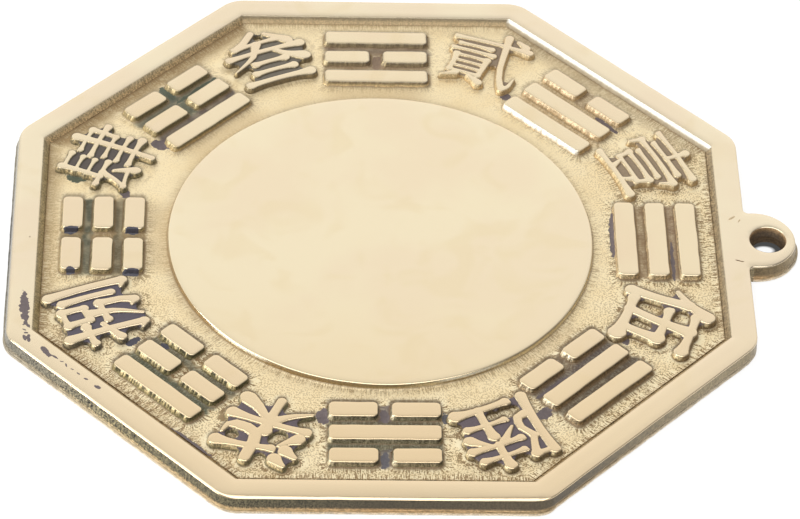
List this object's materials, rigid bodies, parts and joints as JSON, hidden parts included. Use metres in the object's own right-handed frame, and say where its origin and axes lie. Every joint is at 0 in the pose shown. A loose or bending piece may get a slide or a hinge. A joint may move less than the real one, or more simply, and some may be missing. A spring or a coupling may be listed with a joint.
{
  "type": "bagua mirror",
  "caption": "Octagonal cast brass bagua mirror plaque with a polished round centre, raised trigram bars and numerals on a sunken ground, a raised rim and a hanging ear.",
  "frame": {"origin": "centre of the octagon on the flat back face", "axes": "+Z out of the polished face, +X from the centre towards the hanging ear, +Y along the side square to it, so the plaque lies on its back"},
  "size_m": [0.1367, 0.1282, 0.0033],
  "materials": {
    "polished_brass": "polished, lightly aged",
    "textured_brass": "fine grained ground with dark patina in its recesses"
  },
  "bodies": {
    "root": {"back_plate": "textured_brass", "rim_frame": "polished_brass", "mirror_disc": "polished_brass", "heaven_inner_bar": "polished_brass", "heaven_middle_bar": "polished_brass", "heaven_outer_bar": "polished_brass", "lake_inner_bar": "polished_brass", "lake_middle_bar": "polished_brass", "lake_outer_bar_left": "polished_brass", "lake_outer_bar_right": "polished_brass", "fire_inner_bar": "polished_brass", "fire_middle_bar_left": "polished_brass", "fire_middle_bar_right": "polished_brass", "fire_outer_bar": "polished_brass", "thunder_inner_bar": "polished_brass", "thunder_middle_bar_left": "polished_brass", "thunder_middle_bar_right": "polished_brass", "thunder_outer_bar_left": "polished_brass", "thunder_outer_bar_right": "polished_brass", "earth_inner_bar_left": "polished_brass", "earth_inner_bar_right": "polished_brass", "earth_middle_bar_left": "polished_brass", "earth_middle_bar_right": "polished_brass", "earth_outer_bar_left": "polished_brass", "earth_outer_bar_right": "polished_brass", "mountain_inner_bar_left": "polished_brass", "mountain_inner_bar_right": "polished_brass", "mountain_middle_bar_left": "polished_brass", "mountain_middle_bar_right": "polished_brass", "mountain_outer_bar": "polished_brass", "water_inner_bar_left": "polished_brass", "water_inner_bar_right": "polished_brass", "water_middle_bar": "polished_brass", "water_outer_bar_left": "polished_brass", "water_outer_bar_right": "polished_brass", "wind_inner_bar_left": "polished_brass", "wind_inner_bar_right": "polished_brass", "wind_middle_bar": "polished_brass", "wind_outer_bar": "polished_brass", "numeral_1": "polished_brass", "numeral_2": "polished_brass", "numeral_3": "polished_brass", "numeral_4": "polished_brass", "numeral_5": "polished_brass", "numeral_6": "polished_brass", "numeral_7": "polished_brass", "numeral_8": "polished_brass"}
  },
  "joints": []
}
